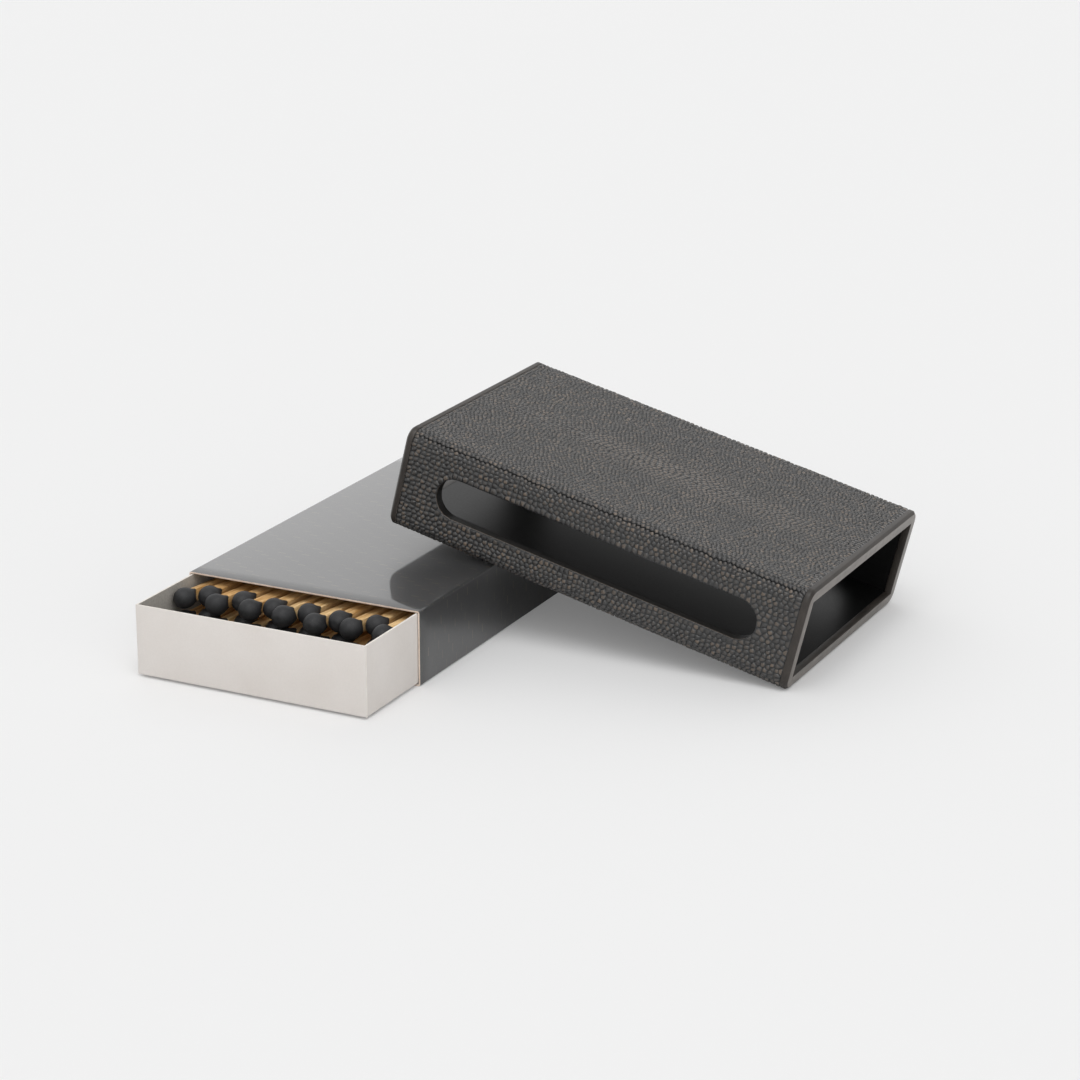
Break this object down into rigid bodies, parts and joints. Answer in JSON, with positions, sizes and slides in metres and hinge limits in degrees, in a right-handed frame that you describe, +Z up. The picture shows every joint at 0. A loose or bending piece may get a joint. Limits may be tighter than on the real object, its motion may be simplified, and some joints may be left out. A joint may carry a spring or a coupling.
{
  "type": "matchbox holder",
  "caption": "Slip-on matchbox holder covered in dark shagreen, open at both ends with a striking slot in each long side, leaning on its matchbox with a sliding drawer of matches.",
  "frame": {"origin": "centre of the set's footprint, on the surface it lies on", "axes": "+X runs down the length of the leaning holder, +Y along the matchbox from its drawer to its far end, +Z up"},
  "size_m": [0.1544, 0.136, 0.0535],
  "materials": {
    "shagreen": "pebbled shagreen grain, near-black with warm brown bead tops, satin",
    "board": "thin plain board, hidden under the skin and the lining",
    "lining": "smooth black satin lining",
    "band": "smooth dyed edge, satin taupe brown",
    "printed_card": "dark glossy printed card with cream cut edges",
    "striker": "rough dark brown striking surface",
    "white_card": "uncoated off-white folded card",
    "match_wood": "pale split softwood, raw",
    "match_head": "matte black dipped match composition"
  },
  "bodies": {
    "cover": {"cover_sleeve": "printed_card", "striker_strip": "striker"},
    "drawer": {"drawer_tray": "white_card", "bottom_layer_sticks": "match_wood", "middle_layer_sticks": "match_wood", "top_layer_sticks": "match_wood", "bottom_layer_heads": "match_head", "middle_layer_heads": "match_head", "top_layer_heads": "match_head"},
    "holder": {"holder_top_board": "board", "holder_bottom_board": "board", "holder_front_board": "board", "holder_rear_board": "board", "shagreen_wrap": "shagreen", "holder_top_lining": "lining", "holder_bottom_lining": "lining", "holder_front_lining": "lining", "holder_rear_lining": "lining", "left_end_band": "band", "right_end_band": "band"}
  },
  "joints": [
    {"name": "drawer_slide", "type": "slide", "parent": "cover", "child": "drawer", "axis": [0, -1, 0], "range_m": [-0.0256, 0.07]},
    {"name": "holder_lift", "type": "slide", "parent": "cover", "child": "holder", "axis": [0, 0, 1], "range_m": [0, 0.03]}
  ]
}
